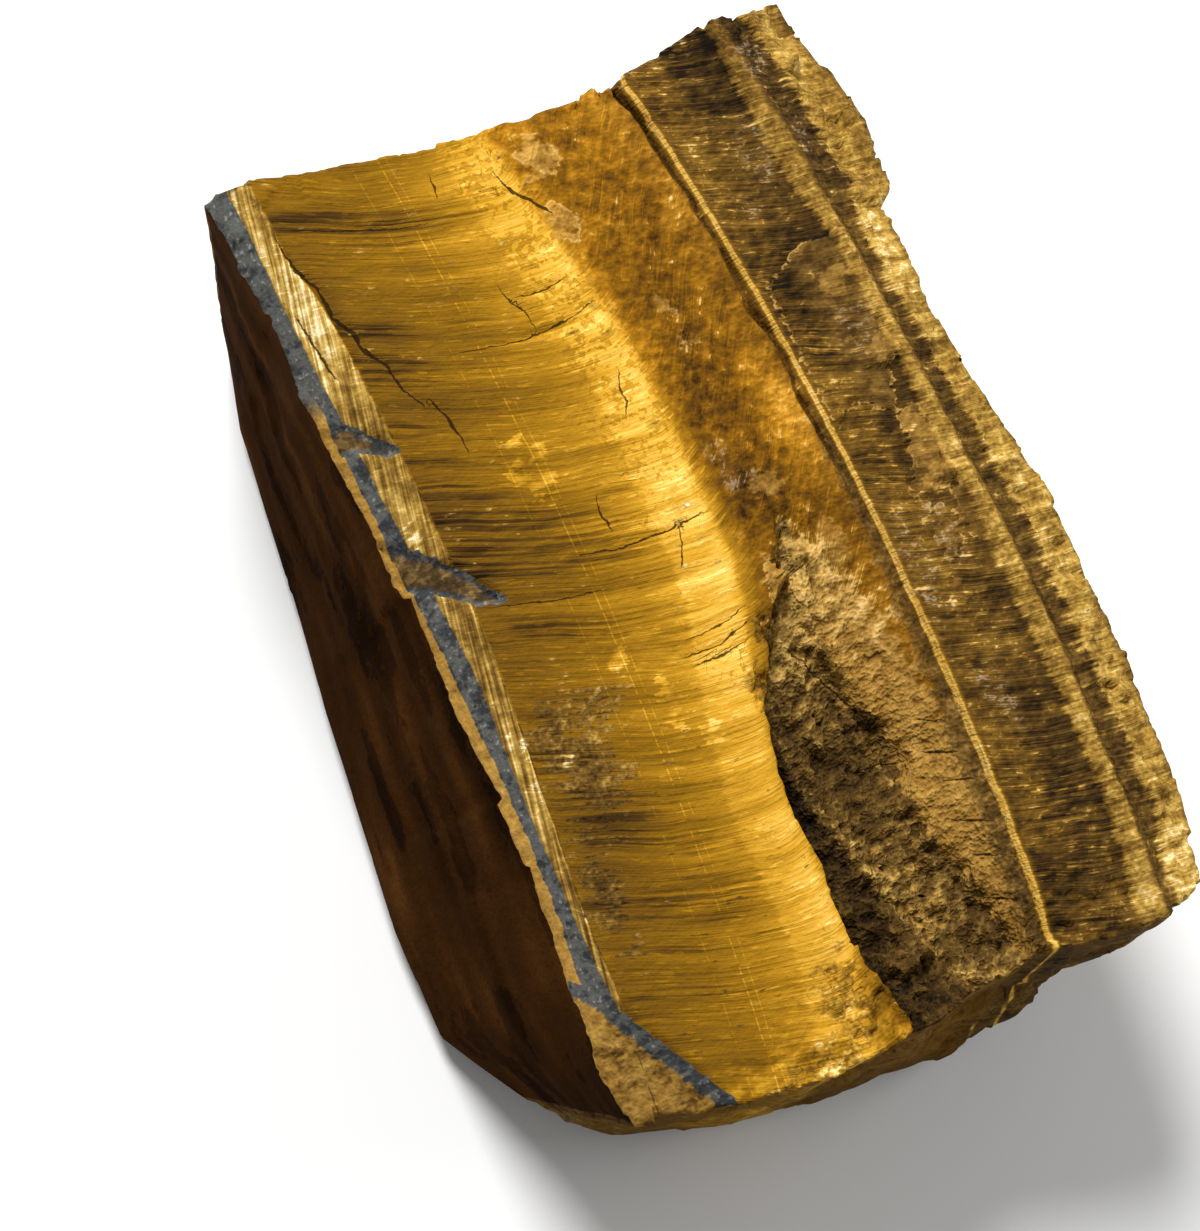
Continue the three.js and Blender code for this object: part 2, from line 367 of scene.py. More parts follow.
blots = {  # places with their own colour, and places of painted shade (shaded): x, y, half width, half length
    "scuffed": [(-9, -16, 5, 9), (-13, -28, 3, 10), (-5, -9, 5, 3), (-11, -10, 4, 6),
                (24, 26, 2, 2)],
    "shaded": [
        (-10, -24, 7, 17), (-12, 10, 5, 5), (-9, 38, 6, 6), (-14, 42, 3, 11),
        (-3, 11, 9, 1.6), (-6, 54, 9, 2), (26, 25, 5, 16),
    ],
    "crumbs": [(7, -50, 4.4, 7), (2, -55, 7, 2.6), (-5, -56.5, 6, 2), (13.4, -15, 2.4, 4),
               (17, -8.6, 3, 2.6)],
    "yellow": [(-0.4, 18, 4, 5), (3, -12, 2.2, 4), (6, -17, 2, 2), (-1, -5, 2, 2),
               (-16, 14.6, 1.6, 3.4)],
    "orange": [
        (45, 4, 3.6, 6), (46.4, 17, 3.4, 2), (44, 26.4, 2.4, 2.4), (17, 52, 3.4, 3.4),
        (16, 43.6, 3, 2.6), (23, 31, 1.4, 1.4), (30, -3, 2.6, 5), (27, -8, 2.4, 5),
        (21, -4, 2.6, 3.4), (16, -48.6, 4.4, 1.8), (20, -53, 6, 3), (53, 47, 3, 4.4),
        (25, 7, 3, 2), (42, -12, 1.2, 1.6),
    ],
    "pale": [
        (22, 8.4, 3, 1.6), (20.6, 12, 2, 3), (24.6, 30, 1.2, 1), (42.4, 44, 2.4, 5.6),
        (38.6, 38, 2, 2), (38.4, -9, 2.4, 9), (42.6, -6, 2.6, 5), (40, -26, 2.4, 6),
        (44, 20, 3, 4), (49, 44, 1.2, 6), (33, 61, 8, 2.6), (47, 55, 3, 4),
    ],
}
lumps = {"x": 50.5, "y": 33, "size": 6.5, "rise": 1.5}


# signed distance to a course of points, positive to its right, and how far along it the nearest point is
def courseDistance(x, y, course):
    best = np.full_like(x, 1e9)
    signed = np.full_like(x, 1e9)
    along = np.zeros_like(x)
    for k, ((ax, ay), (bx, by)) in enumerate(zip(course[:-1], course[1:])):
        runX, runY = bx - ax, by - ay
        part = np.clip(((x - ax) * runX + (y - ay) * runY) / (runX**2 + runY**2), 0, 1)
        offX, offY = x - ax - part * runX, y - ay - part * runY
        distance = np.hypot(offX, offY)
        closer = distance < best
        best = np.where(closer, distance, best)
        signed = np.where(closer, np.sign(offX * runY - offY * runX) * distance, signed)
        along = np.where(closer, (k + part) / (len(course) - 1), along)
    return signed, along


# distance inside an outline, negative outside it
def insideDistance(x, y, outline):
    closed = outline + outline[:1]
    signed, _ = courseDistance(x, y, closed)
    inside = np.zeros(len(x), bool)
    for (ax, ay), (bx, by) in zip(closed[:-1], closed[1:]):
        if ay != by:
            inside ^= ((y < ay) != (y < by)) & (x < ax + (y - ay) * (bx - ax) / (by - ay))
    return np.where(inside, 1, -1) * np.abs(signed)


# distance inside the nearest outline of a list, negative outside all of them
def nearestInside(x, y, outlines):
    return np.max([insideDistance(x, y, outline) for outline, _ in outlines], axis=0)


def blotField(x, y, kind):
    spots = [1 - np.hypot((x - cx) / wide, (y - cy) / long) for cx, cy, wide, long in blots[kind]]
    return np.maximum(np.max(spots, axis=0), -1)


# distance from the torn fissure beside the seam
def fissureField(x, y):
    return x - seamLine(y) + 0.95 + 0.4 * noise(flatPoints(x * 0, y), 4.5, 17, 2)


# the nearest crack: signed distance from it, and how open it is there
def crackFields(x, y):
    offset, gape = np.full_like(x, 1.5), np.zeros_like(x)
    for course, width in cracks:
        signed, along = courseDistance(x, y, course)
        closer = np.abs(signed) < np.abs(offset)
        taper = np.sin(np.pi * np.clip(along * 0.92 + 0.04, 0, 1)) ** 0.5
        taper = taper * (1 - ease(np.abs(signed), 0.5, 0.9))
        offset = np.where(closer, signed, offset)
        gape = np.where(closer & (np.abs(signed) < 1.5), width * taper, gape)
    return offset, gape


def pastChamfer(x, y):
    return (x - chamfer["x"]) * chamfer["nx"] + (y - chamfer["y"]) * chamfer["ny"]


# the torn rock on the floor of the pit
def rockRelief(x, y):
    ribs = flatPoints(x * 0.94 + y * 0.34, y * 0.94 - x * 0.34)
    rock = 0.9 * facets(ribs, (2.2, 6, 3), 31) + 0.6 * facets(ribs, (1.2, 2.4, 2), 41)
    return rock + 0.35 * facets(flatPoints(x, y), 0.9, 51)


# fine relief of the fibre face: combed bundles, and flakier ones where it is worn
def fibreRelief(x, y, whole):
    fibre, flat = fibreCoordinates(x, y), flatPoints(x, y)
    relief = 0.06 * noise(fibre, (9, 1.3, 5), 11, 2) * whole
    relief += 0.09 * facets(fibre, (11, 2.6, 9), 21, 0.15) * whole
    worn = np.maximum(ease(x, 17, 22), blotField(x, y, "scuffed").clip(0, 1))
    relief += worn * 0.3 * facets(fibre, (6, 2.2, 5), 25, 0.3) * whole
    plate = ease(x - seamLine(y), 0.5, 2)
    flakes = 0.22 * facets(fibre, (4, 2.2, 3), 27, 0.4) + 0.12 * facets(flat, 1.6, 28, 0.4)
    return relief + plate * flakes


# the lip of the seam, and the fissure and the groove beside it
def seamRelief(x, y):
    flat = flatPoints(x, y)
    past, back = x - seamLine(y), ease(y, -8, 16)
    torn = bump(fissureField(x, y), 0.4) * back * (0.5 + 0.5 * noise(flat, (9, 4, 9), 29, 2)).clip(0, 1)
    lip = 0.15 * bump(past - 0.3, 0.35) * (0.6 + 0.7 * noise(flat, 2.2, 30, 2))
    groove = 0.4 * bump(past + 0.9, 0.5) * (1 - back) * (0.7 + noise(flat, (9, 2.4, 9), 32, 2))
    return lip - 2.2 * torn - groove


# what has come off the fibre face and what still clings to it
def wearRelief(x, y, whole):
    flat = flatPoints(x, y)
    relief = np.zeros_like(x)
    for outline, depth in chips:
        relief -= depth * ease(insideDistance(x, y, outline) + 0.3 * noise(flat, 1.5, 33, 2), -0.1, 0.4)
    ragged = 0.7 * noise(flat, 1.8, 35, 3)
    for outline, thickness in crusts:
        relief += thickness * ease(insideDistance(x, y, outline) + ragged, 0, 0.35)
    offset, width = crackFields(x, y)
    relief -= 2.4 * width * bump(offset, 0.35)
    crumbs = ease(-y, 43, 52) * ease(x, -9, 5) * (1 - ease(x, 42, 48))
    crumbs = np.maximum(crumbs, ease(blotField(x, y, "crumbs"), 0, 0.5) * whole)
    return relief + crumbs * (0.7 * facets(flat, (2, 3.2, 3), 61) + 0.45 * facets(flat, 1.1, 62) - 0.5)


# the rougher edges: lumps at a corner, the right flank with its trough, the back end and the ironstone
def edgeRelief(x, y):
    flat = flatPoints(x, y)
    corner = ease(x, lumps["x"], lumps["x"] + 3) * ease(y, lumps["y"], lumps["y"] + 3)
    relief = corner * lumps["rise"] * facets(flat, lumps["size"], 65)
    past = x - stripeLine(y)
    relief += ease(past, 1, 3) * (0.7 * facets(flat, (2.4, 6, 4), 67) + 0.35 * facets(flat, 1.5, 68))
    relief -= 1.1 * bump(past - 1.9 - 0.6 * noise(flat, (9, 6, 9), 72), 1.4) * ease(-y, -44, -30)
    relief += ease(y, 54, 58) * 0.5 * (facets(flat, 3.2, 75) - 0.4)
    iron = ease(ironEdge(y) - x, -0.3, 1)
    relief += iron * (0.5 * facets(flat, (3, 7, 4), 69) + 0.15 * facets(flat, 1.6, 70))
    sawn = ease(pastChamfer(x, y), 0, 1.5)
    return relief + sawn * (0.45 * facets(flat, 3.6, 63) + 0.15 * facets(flat, 1.3, 64))


def faceRelief(x, y):
    hole = pitShare(x, y)
    smoother = (1 - 0.5 * ease(patchField(x, y), -0.4, 0.8)) * lineThrough([(-8, 1), (4, 0.6)], y)
    relief = fibreRelief(x, y, 1 - hole) + seamRelief(x, y) + wearRelief(x, y, 1 - hole)
    return relief + edgeRelief(x, y) + rockRelief(x, y) * hole * smoother


# how far the rim of the fibre face strays from its outline, fading out towards the middle
def raggedRim(x, y, left, right, share):
    flat = flatPoints(x, y)
    nearLeft, nearRight = 1 - ease(x - left, 0, 3.5), 1 - ease(right - x, 0, 4)
    nearFront, nearBack = 1 - ease(share, 0, 0.035), ease(share, 0.965, 1)
    strayX = nearLeft * (0.45 * facets(flat, (9, 7, 9), 131) + 0.12 * facets(flat, (9, 2, 9), 132))
    strayX += nearRight * (0.8 * facets(flat, (20, 12, 9), 135) + 0.12 * facets(flat, (9, 3.5, 9), 136))
    strayY = nearFront * (0.7 * facets(flat, (4, 9, 9), 137) + 0.3 * facets(flat, (1.6, 9, 9), 139))
    strayY += nearBack * (0.35 * facets(flat, (5, 9, 9), 141) + 0.15 * facets(flat, (1.8, 9, 9), 143))
    return strayX, strayY


# the left and right edges of an outline: x for a share of the way along them
def edgesOf(outline, share):
    edges = []
    for points in (outline["left"], outline["right"]):
        first, last = points[0][0], points[-1][0]
        edges.append(lineThrough(points, first + (last - first) * share))
    return edges


# a sheet inside an outline: where the point at these shares across and along it lies
def sheet(outline, across, share):
    left, right = edgesOf(outline, share)
    x = left + (right - left) * across
    front, back = lineThrough(outline["front"], x), lineThrough(outline["back"], x)
    return x, front + (back - front) * share


# the surface of a box as a grid of whole-number corners, with every face turned outwards
def boxSurface(counts):
    quads = []
    for axis in range(3):
        a, b = (axis + 1) % 3, (axis + 2) % 3
        for end in (0, counts[axis]):
            i, j = np.meshgrid(np.arange(counts[a]), np.arange(counts[b]), indexing="ij")
            corners = np.zeros(i.shape + (4, 3), int)
            corners[..., axis] = end
            turn = ((0, 0), (1, 0), (1, 1), (0, 1)) if end else ((0, 0), (0, 1), (1, 1), (1, 0))
            for k, (di, dj) in enumerate(turn):
                corners[..., k, a] = i + di
                corners[..., k, b] = j + dj
            quads.append(corners.reshape(-1, 4, 3))
    corners, faces = np.unique(np.concatenate(quads).reshape(-1, 3), axis=0, return_inverse=True)
    return corners.astype(float), faces.reshape(-1, 4)


def stoneGrid():
    counts = (sum(block["columns"]), block["rows"], block["levels"])
    corners, faces = boxSurface(counts)
    mesh = bpy.data.meshes.new("stoneGrid")
    mesh.from_pydata(corners.tolist(), [], faces.tolist())
    shape = bmesh.new()
    shape.from_mesh(mesh)
    top = counts[2] - 0.5
    fine = [edge for edge in shape.edges if all(corner.co.z > top for corner in edge.verts)]
    bmesh.ops.subdivide_edges(shape, edges=fine, cuts=1, use_grid_fill=True)
    bmesh.ops.triangulate(shape, faces=[face for face in shape.faces if len(face.verts) > 4])
    shape.to_mesh(mesh)
    shape.free()
    return mesh, counts


def readPoints(mesh):
    points = np.zeros(len(mesh.vertices) * 3, np.float32)
    mesh.vertices.foreach_get("co", points)
    return points.reshape(-1, 3).astype(float)


# one value for each corner, or up to three kept together as a vector
def addField(mesh, name, *values):
    packed = len(values) > 1
    if packed:
        values = (*values, values[0] * 0)[:3]
    field = mesh.attributes.new(name, "FLOAT_VECTOR" if packed else "FLOAT", "POINT")
    values = np.stack(values, axis=1).astype(np.float32)
    field.data.foreach_set("vector" if packed else "value", values.ravel())


# Where the corners of the grid go, with the height of the fibre face above each, the left rim beside
# it, the sides that it lies on and whether it is on the face.
def placeCorners(mesh, counts):
    column, row, level = readPoints(mesh).T
    share, up = row / counts[1], level / counts[2]
    start, end = edgesOf(block["rim"], share)
    lines = layerLines((share - 0.5) * block["length"], start, end)
    stops = np.concatenate([[0], np.cumsum(block["columns"])])
    across = (carriedOver(column, stops, lines, np.zeros_like(column)) - start) / (end - start)
    topX, topY = sheet(block["rim"], across, share)
    footX, footY = sheet(block["foot"], across, share)
    ragX, ragY = raggedRim(topX, topY, start, end, share)
    topX, topY = topX + ragX, topY + ragY
    topZ = faceHeight(topX, topY) + faceRelief(topX, topY)
    x, y, z = footX + (topX - footX) * up, footY + (topY - footY) * up, topZ * up

    sides = {
        "left": column < 0.25,
        "right": column > counts[0] - 0.25,
        "front": row < 0.25,
        "back": row > counts[1] - 0.25,
    }
    outX, outY = sides["right"] * 1 - sides["left"], sides["back"] * 1 - sides["front"]
    reach = np.maximum(np.hypot(outX, outY), 1)
    points = np.stack([x, y, z], axis=1)
    swell = sideRelief(points, sides["left"]) * np.sin(np.pi * np.clip(up, 0, 1)) ** 0.8
    drawn = block["bedShrink"] * (1 - ease(z, 0, block["bedRise"]))
    middleX, middleY = (x.min() + x.max()) / 2, (y.min() + y.max()) / 2
    x += outX / reach * swell + (middleX - x) * drawn
    y += outY / reach * swell + (middleY - y) * drawn
    inner = (up < 1e-6) & ~np.any(list(sides.values()), axis=0)
    z += np.where(inner, np.maximum(0, facets(points, 9, 121)) * block["bedHollow"], 0)
    return np.stack([x, y, z], axis=1), topZ, start, sides, up > 1 - 1e-6


# how far the broken sides stand out, and the smoother vein wall at the left
def sideRelief(points, atLeft):
    broken = 2.2 * facets(points, 19, 71, 0.6) + 0.7 * facets(points, 6, 81)
    broken = broken + 0.25 * facets(points, 2.4, 91)
    vein = 0.5 * facets(points, (30, 24, 9), 101, 0.5) + 0.15 * noise(points, (4, 9, 1.6), 111, 2)
    return np.where(atLeft, vein, broken)


# The painted sheen along the shoulder, a chatoyant reflection painted into the colour: how far past the
# shoulder its brightest part lies and how strong it is, for a given y, and how much brighter it is painted
# for each distance from there, as tone.
paintedSheen = {
    "lead": [
        (-56, -2.5), (-45, 0.6), (-30, 0.9), (-20, 0.5), (-8, -1), (0, -0.4), (10, 0.2), (20, 0.9),
        (30, 1.9), (40, 1.6), (50, 2.2), (58, 3),
    ],
    "paintedSheenStrength": [(-56, 0.7), (-40, 0.82), (-20, 0.8), (-8, 0.85), (0, 0.97), (25, 1), (42, 0.85),
               (58, 0.7)],
    "tones": [
        (-26, 0), (-16, 0.08), (-11, 0.18), (-6.6, 0.3), (-6.1, 0.4), (-3, 0.46), (-0.8, 0.5),
        (0.2, 0.44), (1, 0.2), (3, 0.06), (6, 0),
    ],
}


# what the finish needs to know at each corner, in values that it reads by name
def addFields(mesh, points, topZ, start, sides, onFace):
    x, y, z = points.T
    fibre = fibreCoordinates(x, y, z - topZ)
    layer, hole = straightened(x, y), pitShare(x, y) * onFace
    cut = np.where(onFace, pastChamfer(x, y), -3)
    onSlope = ease(layer, 16.5, 19.5) * (1 - ease(layer, 34.5, 35.3))
    combed = ease(layer, -14.3, -14) * (1 - hole) * (1 - 0.6 * onSlope) * (1 - ease(cut, -0.2, 0.2))
    offset, width = crackFields(x, y)
    edges = (nearestInside(x, y, chips), nearestInside(x, y, crusts), patchField(x, y))
    blotted = {kind: np.where(onFace, blotField(x, y, kind), -1) for kind in blots}
    bundles = 0.25 * noise(points, (11, 14, 14), 211, 3), 0.25 * noise(fibre, (22, 1.8, 2), 221, 2)
    stainSizes = ((9, 1.3, 2), (5, 16, 5), (6, 9, 4))
    broken = (sides["front"] | sides["back"] | sides["right"]) & ~onFace

    addField(mesh, "layer", layer)
    addField(mesh, "place", x, y, z)
    strayed = fibre[:, 0] + noise(points, 7, 201, 3), fibre[:, 1] + 0.3 * noise(points, 7, 205, 3)
    addField(mesh, "fibre", *strayed)
    addField(mesh, "bundles", *bundles, crowdField(x, y))
    addField(mesh, "stains", *[0.25 * noise(points, size, 231, 3) for size in stainSizes])
    addField(mesh, "surface", hole, combed, onSlope)
    depths = np.where(sides["left"], topZ - z, start - x), np.where(broken, topZ - z, 0)
    addField(mesh, "walls", *depths, fissureField(x, y))
    addField(mesh, "edges", *[np.where(onFace, np.clip(edge, -3, 3), -3) for edge in edges])
    beforeRidge = lineThrough(pit["ridge"], y) - x - 3 * ease(y, -20, -14)
    addField(mesh, "torn", rockRelief(x, y), beforeRidge, cut)
    # where the painted sheen lies and how strong it is
    past = x - shoulderLine(y) - lineThrough(paintedSheen["lead"], y)
    addField(mesh, "shine", past, lineThrough(paintedSheen["paintedSheenStrength"], y))
    addField(mesh, "cracks", offset, width * onFace)
    addField(mesh, "blotsA", blotted["scuffed"], blotted["shaded"], blotted["yellow"])
    addField(mesh, "blotsB", blotted["orange"], blotted["pale"], blotted["crumbs"])


def newObject(name, data):
    thing = bpy.data.objects.new(name, data)
    bpy.context.scene.collection.objects.link(thing)
    return thing


mesh, counts = stoneGrid()
points, *notes = placeCorners(mesh, counts)
addFields(mesh, points, *notes)
low, high = points.min(axis=0), points.max(axis=0)
scale = (stoneHigh.y - stoneLow.y) / (high[1] - low[1])
middle = Vector(((low[0] + high[0]) / 2, (low[1] + high[1]) / 2, low[2]))
bedMiddle = Vector(((stoneLow.x + stoneHigh.x) / 2, (stoneLow.y + stoneHigh.y) / 2, stoneLow.z))
toFrame = Matrix.Translation(bedMiddle) @ Matrix.Scale(scale, 4) @ Matrix.Translation(-middle)
mesh.vertices.foreach_set("co", points.astype(np.float32).ravel())
mesh.transform(toFrame)
mesh.update()
stone = newObject("tigersEyeStone", mesh)
for face in mesh.polygons:
    face.use_smooth = True
print("stone shaped:", len(mesh.polygons), "faces,", len(mesh.vertices), "corners")


# A socket that adds Math nodes when it is used in sums. A product gets no node of its own until it
# is needed, so that a sum can take it in with one Multiply Add.
class Wire:
    def __init__(self, sheet, socket=None, product=None):
        self.sheet, self.made, self.product = sheet, socket, product

    @property
    def socket(self):
        if self.made is None:
            self.made = self.maths("MULTIPLY", *self.product).made
        return self.made

    def maths(self, operation, *values):
        return self.sheet.node("ShaderNodeMath", {"operation": operation}, dict(enumerate(values)))

    def __add__(self, other):
        for wire, rest in ((self, other), (other, self)):
            if isinstance(wire, Wire) and wire.product and wire.made is None:
                return self.maths("MULTIPLY_ADD", *wire.product, rest)
        return self.maths("ADD", self, other)

    def __sub__(self, other):
        if isinstance(other, Wire) and other.product and isinstance(other.product[1], (int, float)):
            return self.maths("MULTIPLY_ADD", other.product[0], -other.product[1], self)
        return self.maths("SUBTRACT", self, other)

    def __rsub__(self, other):
        return self.maths("SUBTRACT", other, self)

    def __mul__(self, other):
        return Wire(self.sheet, product=(self, other))

    def __truediv__(self, other):
        return self.maths("DIVIDE", self, other)

    __radd__, __rmul__ = __add__, __mul__

    def least(self, other):
        return self.maths("MINIMUM", self, other)

    def most(self, other):
        return self.maths("MAXIMUM", self, other)

    def size(self):
        return self.maths("ABSOLUTE", self)

    # smooth step: 0 below low and 1 above high, or the other way round
    def ease(self, low, high):
        settings = {"interpolation_type": "SMOOTHSTEP"}
        return self.sheet.node("ShaderNodeMapRange", settings, {"Value": self, 1: low, 2: high})


# One material and the nodes that paint it.
class PaintSheet:
    def __init__(self, name):
        self.material = bpy.data.materials.new(name)
        self.material.use_nodes = True
        self.tree = self.material.node_tree
        self.shader = self.tree.nodes["Principled BSDF"]

    def node(self, kind, settings=None, values=None, output=0):
        made = self.tree.nodes.new(kind)
        for key, value in (settings or {}).items():
            if key == "stops":
                self.setStops(made.color_ramp, value)
            else:
                setattr(made, key, value)
        for key, value in (values or {}).items():
            self.feed(made.inputs[key], value)
        return Wire(self, made.outputs[output])

    def setStops(self, ramp, stops):
        while len(ramp.elements) < len(stops):
            ramp.elements.new(1)
        for element, (at, colour) in zip(ramp.elements, stops):
            element.position = at
            element.color = (*colour, 1)

    def feed(self, socket, value):
        if isinstance(value, Wire):
            self.tree.links.new(value.socket, socket)
        else:
            socket.default_value = value

    def field(self, name, vector=False):
        settings = {"attribute_name": name}
        return self.node("ShaderNodeAttribute", settings, output="Vector" if vector else "Fac")

    # the three values that a vector or a colour holds
    def parts(self, packed, kind="ShaderNodeSeparateXYZ"):
        first = self.node(kind, None, {0: packed})
        return [Wire(self, socket) for socket in first.socket.node.outputs]

    def fields(self, name):
        return self.parts(self.field(name, True))

    def spread(self, at, stretch, shift):
        values = {0: at, 1: [1 / length for length in (*stretch, 1)][:3], 2: (shift, shift, shift)}
        return self.node("ShaderNodeVectorMath", {"operation": "MULTIPLY_ADD"}, values)

    # about -0.3 to 0.3, in patches of the given size in millimetres, flat ones for two sizes
    def noise(self, at, stretch, detail=2, rough=0.5, shift=0):
        values = {"Vector": self.spread(at, stretch, shift), "Scale": 1}
        values |= {"Detail": detail, "Roughness": rough}
        return self.node("ShaderNodeTexNoise", {"noise_dimensions": f"{len(stretch)}D"}, values) - 0.5

    # splinters: one value from -0.5 to 0.5 for each
    def cells(self, at, stretch, shift=0):
        values = {"Vector": self.spread(at, stretch, shift), "Scale": 1}
        settings = {"voronoi_dimensions": f"{len(stretch)}D"}
        tints = self.node("ShaderNodeTexVoronoi", settings, values, "Color")
        return self.node("ShaderNodeSeparateColor", None, {0: tints}) - 0.5

    def turned(self, at, angle):
        return self.node("ShaderNodeVectorRotate", {"rotation_type": "Z_AXIS"}, {0: at, "Angle": angle})

    def ramp(self, value, stops):
        return self.node("ShaderNodeValToRGB", {"stops": stops}, {"Fac": value}, "Color")

    # three numbers for a value: rows of where it lies and what they are there
    def rampOver(self, value, low, high, rows):
        stops = [((at - low) / (high - low), numbers) for at, numbers in rows]
        return self.parts(self.ramp((value - low) / (high - low), stops), "ShaderNodeSeparateColor")

    def mix(self, share, first, second, blend="MIX"):
        settings = {"data_type": "RGBA", "blend_type": blend}
        return self.node("ShaderNodeMix", settings, {0: share, 6: first, 7: second}, 2)

    def bump(self, height, depth):
        values = {"Height": height, "Distance": depth, "Strength": 1}
        return self.node("ShaderNodeBump", None, values, "Normal")


# Colours from the darkest fibre to the brightest, as linear red, green and blue.
fibreTones = [
    (0, (0.01, 0.006, 0.003)),
    (0.15, (0.055, 0.027, 0.006)),
    (0.3, (0.13, 0.062, 0.006)),
    (0.45, (0.225, 0.108, 0.006)),
    (0.6, (0.37, 0.18, 0.01)),
    (0.75, (0.58, 0.3, 0.022)),
    (0.9, (0.84, 0.49, 0.08)),
    (1, (0.97, 0.7, 0.22)),
]
dullTones = [
    (0, (0.012, 0.008, 0.005)),
    (0.2, (0.045, 0.025, 0.008)),
    (0.4, (0.105, 0.057, 0.014)),
    (0.55, (0.19, 0.108, 0.026)),
    (0.7, (0.35, 0.22, 0.05)),
    (0.85, (0.56, 0.38, 0.105)),
    (1, (0.88, 0.78, 0.52)),
]
crustTones = [
    (0, (0.05, 0.022, 0.006)),
    (0.35, (0.2, 0.098, 0.018)),
    (0.6, (0.42, 0.232, 0.047)),
    (1, (0.75, 0.47, 0.15)),
]
ironTones = [
    (0, (0.01, 0.011, 0.012)),
    (0.35, (0.045, 0.047, 0.048)),
    (0.6, (0.11, 0.11, 0.1)),
    (1, (0.3, 0.29, 0.26)),
]
wallTones = [
    (0, (0.01, 0.004, 0.001)),
    (0.35, (0.042, 0.015, 0.003)),
    (0.6, (0.09, 0.034, 0.007)),
    (1, (0.24, 0.12, 0.035)),
]
# For each layer from the left wall to the right rim: tone, dullness and how strong its streaks are.
layerTones = [
    (-17.3, (0.6, 0.9, 0.2)),
    (-16.9, (0.7, 0.85, 0.05)),
    (-14.3, (0.68, 0.75, 0.05)),
    (-14.15, (0.35, 0, 1)),
    (0, (0.37, 0, 1)),
    (16, (0.39, 0, 1)),
    (18, (0.39, 0.05, 1)),
    (30, (0.45, 0.1, 0.8)),
    (34, (0.48, 0.3, 0.6)),
    # At the seam the dark stop is a dark layer and painted shade in the groove beside the lip, and the
    # bright stops are a golden lip painted brighter as a painted highlight.
    (35.2, (0.27, 0.6, 0.4)),
    (35.6, (0.91, 0.1, 0.15)),
    (36.35, (0.9, 0.1, 0.15)),
    (36.7, (0.32, 0.6, 0.8)),
    (41, (0.31, 0.65, 0.8)),
    (42.5, (0.25, 0.75, 0.9)),
    (47, (0.25, 0.75, 0.9)),
    (47.3, (0.61, 0.75, 0.6)),
    (49.2, (0.66, 0.75, 0.6)),
    (49.6, (0.4, 0.9, 0.7)),
    (52.2, (0.38, 0.9, 0.7)),
    (53, (0.74, 0.75, 0.4)),
    (57, (0.74, 0.75, 0.4)),
    (58.5, (0.5, 0.8, 0.8)),
]
# What the finish is made of: strengths as tone, and colours.
finish = {
    "streaks": 0.155,
    "bruises": 0.06,
    "splits": 0.16,
    "flecks": 0.11,
    "scratches": 0.17,
    "ticks": 0.18,
    # the dapples darken the painted sheen, and the shade is painted shade
    "paintedSheenDapples": 0.15,
    "shade": 0.07,
    "slopeTint": (1, 0.89, 0.78, 1),
    "paleSpots": (0.36, 0.29, 0.21, 1),
    "openCracks": (0.016, 0.009, 0.004, 1),
    "roughness": 0.46,
    "relief": 0.0004,  # metres
    "specular": 0.04,
    "specularTint": (1, 0.8, 0.5, 1),
    "ior": 1.2,
}


# The finish of the stone: first what the mesh tells it, and the textures that its parts share.
paint = PaintSheet("tigersEye")
place, fibre = paint.field("place", True), paint.field("fibre", True)
layer = paint.field("layer")
acrossX, alongY, _ = paint.parts(place)
broad, wide, crowd = paint.fields("bundles")
bruises, drift, stains = paint.fields("stains")
hole, combed, onSlope = paint.fields("surface")
wall, below, fissure = paint.fields("walls")
chipAt, crustAt, patchAt = paint.fields("edges")
rugged, wedgeAt, cutAt = paint.fields("torn")
away, paintedSheenStrength, _ = paint.fields("shine")
crackOffset, crackWidth, _ = paint.fields("cracks")
scuffedAt, shadedAt, yellowAt = paint.fields("blotsA")
orangeAt, paleAt, crumbsAt = paint.fields("blotsB")

hair = paint.noise(fibre, (6, 0.16), 1, 0.5)
fine = paint.noise(fibre, (14, 0.4), 2, 0.6, 3.7)
strands = paint.noise(fibre, (30, 0.5), 1, 0.5, 13)
flaky = paint.noise(place, (2.4, 1.5, 1.8), 2, 0.7, 1.7)
grit = paint.noise(place, (0.6, 0.6, 0.6), 1, 0.65)
slivers = paint.cells(fibre, (5, 0.34), 5)
flecks = paint.cells(fibre, (1, 0.17), 9)
bright = flecks.ease(0.455, 0.465)
onPlate = layer.ease(36.6, 37.4) * layer.ease(47.5, 45.5)
onBand = layer.ease(-17.4, -17.2) * layer.ease(-14.1, -14.2)
inPit = (hole + flaky * 1.1 + fine * 0.6).ease(0.2, 0.34)


# painted sheen: extra tone that stands in for the chatoyant reflection along the shoulder
def paintedShoulderSheen():
    reach = away + slivers * 0.7 + wide * 0.8 + broad * 1.2 + fine * 0.8
    lift, _, _ = paint.rampOver(reach, -30, 10, [(at, (tone, tone, tone)) for at, tone in paintedSheen["tones"]])
    return lift * paintedSheenStrength * layer.ease(-14.2, -13.8) * (1 + wide * 0.4)


shine = paintedShoulderSheen()
paintedSheenShare = shine.ease(0.15, 0.4)


# tone, dullness and streakiness of the layers, whose fibre ends reach past each other where two meet
def layers():
    feather = 0.2 + 0.5 * layer.ease(42, 45) + 0.6 * layer.ease(50, 51)
    edge = layer + (fine * 1.2 + slivers * 0.5 + broad) * feather
    edge = edge + (flaky * 1.4 + broad * 2.4) * layer.ease(45, 46)
    return paint.rampOver(edge, -22, 60, layerTones)


